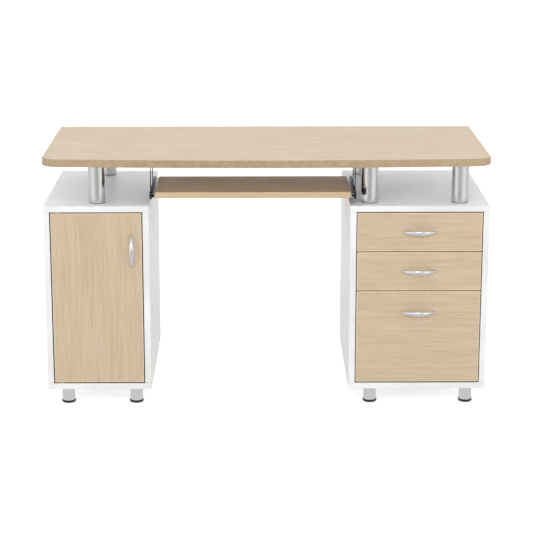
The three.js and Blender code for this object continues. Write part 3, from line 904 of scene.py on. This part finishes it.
desktop()
tray()
for cabinet_name in ("left_cabinet", "right_cabinet"):
    cabinet(cabinet_name)
openings()
shelf()
for node_name in sorted(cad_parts):
    if node_name.startswith("post_"):
        post(node_name)
    if node_name.startswith("foot_"):
        foot(node_name)
door()
for drawer_name, wood in zip(DRAWERS, wood_fronts):
    drawer(drawer_name, wood)


# ---------------------------------------------------------------- floor, light and camera

# Levels of the upright strips that the steel reflects, as (share of the way round from the back
# to the front, level): above the horizon, on the floor round the desk, and on the floor beyond.
STRIPS_ABOVE = ((0.0, 1.25), (0.14, 1.2), (0.25, 0.95), (0.35, 0.6), (0.45, 0.8), (0.55, 0.85),
                (0.66, 1.15), (0.77, 1.15), (0.85, 0.9), (0.92, 0.8), (1.0, 0.85))
STRIPS_BESIDE = ((0.0, 1.15), (0.1, 1.05), (0.18, 0.35), (0.26, 0.12), (0.42, 0.14), (0.5, 0.5),
                 (0.58, 0.8), (0.68, 1.08), (0.78, 1.0), (0.86, 0.78), (0.93, 0.54), (1.0, 0.54))
STRIPS_BEYOND = ((0.0, 1.15), (0.1, 1.05), (0.18, 0.9), (0.26, 0.85), (0.42, 0.8), (0.5, 0.82),
                 (0.58, 0.88), (0.68, 1.08), (0.78, 1.0), (0.86, 0.78), (0.93, 0.54), (1.0, 0.54))
FLOOR_SIZE = 30.0
LIGHT_DISTANCE = 5.0


def grey(level):
    return (level, level, level, 1)


def studio_strips(n, vector, stops):
    """Grey by how far the vector points round from the back, the same on the left and right."""
    direction = n.add("SeparateXYZ", {0: vector})
    turn = n.math("ARCTAN2", direction.outputs["X"], direction.outputs["Y"])
    ramp = n.tree.nodes.new("ShaderNodeValToRGB")
    n.put(ramp.inputs[0], n.remap(n.math("ABSOLUTE", turn), 0.0, math.pi))
    strip = ramp.color_ramp
    while len(strip.elements) < len(stops):
        strip.elements.new(0.5)
    for element, (place, _) in zip(strip.elements, stops):
        element.position = place
    for element, (_, level) in zip(strip.elements, stops):
        element.color = grey(level)
    return ramp.outputs[0]


def floor():
    """A large pale floor that is as white to the camera as the surroundings. Glossy surfaces see
    plain grey close to the desk, STRIPS_BESIDE round that, and STRIPS_BEYOND further out."""
    steps = 6
    ticks = [FLOOR_SIZE * (i / steps - 0.5) for i in range(steps + 1)]
    bm = bmesh.new()
    grid = [[bm.verts.new((x, y, 0)) for y in ticks] for x in ticks]
    for i in range(steps):
        for j in range(steps):
            bm.faces.new((grid[i][j], grid[i + 1][j], grid[i + 1][j + 1], grid[i][j + 1]))
    mesh = bpy.data.meshes.new("floor")
    bm.to_mesh(mesh)
    bm.free()
    made = bpy.data.materials.new("floor_white")
    made.use_nodes = True
    made.node_tree.nodes.clear()
    n = Nodes(made.node_tree)
    rays = n.tree.nodes.new("ShaderNodeLightPath").outputs
    matt = n.add("BsdfDiffuse", {"Color": grey(0.88)})
    glow = n.remap(rays["Is Camera Ray"], 0.0, 1.0, 0.1, 0.5)
    lift = n.add("Emission", {"Color": grey(1), "Strength": glow})
    lit = n.add("AddShader", {0: matt.outputs[0], 1: lift.outputs[0]})
    place = n.coordinates()
    away = n.add("VectorMath", {0: place}, operation="LENGTH").outputs["Value"]
    reflected = n.mix(n.remap(away, 2.45, 2.8), studio_strips(n, place, STRIPS_BESIDE),
                      studio_strips(n, place, STRIPS_BEYOND))
    reflected = n.mix(n.remap(away, 1.05, 1.5), grey(0.82), reflected)
    strips = n.add("Emission", {"Color": reflected})
    both = n.add("MixShader", {0: rays["Is Glossy Ray"], 1: lit.outputs[0], 2: strips.outputs[0]})
    n.add("OutputMaterial", {"Surface": both.outputs[0]})
    mesh.materials.append(made)
    piece = bpy.data.objects.new("floor", mesh)
    bpy.context.scene.collection.objects.link(piece)


def surroundings():
    """White to the camera, an even soft light to matt surfaces, and to glossy ones a studio with
    lighter and darker upright strips that fade to grey overhead."""
    world = bpy.data.worlds.new("studio")
    bpy.context.scene.world = world
    world.use_nodes = True
    world.node_tree.nodes.clear()
    n = Nodes(world.node_tree)
    generated = n.tree.nodes.new("ShaderNodeTexCoord").outputs["Generated"]
    rise = n.add("SeparateXYZ", {0: generated}).outputs["Z"]
    strips = studio_strips(n, generated, STRIPS_ABOVE)
    studio = n.mix(n.remap(rise, 0.25, 0.8), strips, grey(0.8))
    soft = n.mix(n.remap(rise, 0.12, 0.7), grey(1.03), grey(0.92))
    rays = n.tree.nodes.new("ShaderNodeLightPath").outputs
    colour = n.mix(rays["Is Diffuse Ray"], studio, soft)
    colour = n.mix(rays["Is Camera Ray"], colour, grey(1))
    back = n.add("Background", {"Color": colour, "Strength": 1.0})
    n.add("OutputWorld", {"Surface": back.outputs[0]})


def softbox(name, azimuth, elevation, width, height, power):
    """An area light aimed at the desk. Azimuth 0 is in front, and positive is to the right."""
    a, e = math.radians(azimuth), math.radians(elevation)
    target = Vector((0, -0.1, 0.5))
    away = Vector((math.sin(a) * math.cos(e), -math.cos(a) * math.cos(e), math.sin(e)))
    data = bpy.data.lights.new(name, "AREA")
    data.shape = "RECTANGLE"
    data.size = width
    data.size_y = height
    data.energy = power
    lamp = bpy.data.objects.new(name, data)
    bpy.context.scene.collection.objects.link(lamp)
    lamp.matrix_world = facing(target + away * LIGHT_DISTANCE, away)


def camera():
    """In front, above the desktop and a little to the left, tilted down at the desk."""
    tilt, turn = math.radians(14.05), math.radians(-0.46)
    data = bpy.data.cameras.new("camera")
    data.sensor_width = 36
    data.lens = 117.7
    data.clip_end = 100
    eye = bpy.data.objects.new("camera", data)
    bpy.context.scene.collection.objects.link(eye)
    eye.location = (-0.040, -5.2, 1.67)
    eye.rotation_euler = (math.pi / 2 - tilt, 0, turn)
    bpy.context.scene.camera = eye


floor()
surroundings()
softbox("side_left", azimuth=-44, elevation=13, width=1.1, height=1.5, power=8)
softbox("side_right", azimuth=44, elevation=13, width=1.1, height=1.5, power=8)
softbox("front_high", azimuth=0, elevation=27, width=1.6, height=0.5, power=40)
camera()
bpy.context.scene.view_settings.view_transform = "Standard"
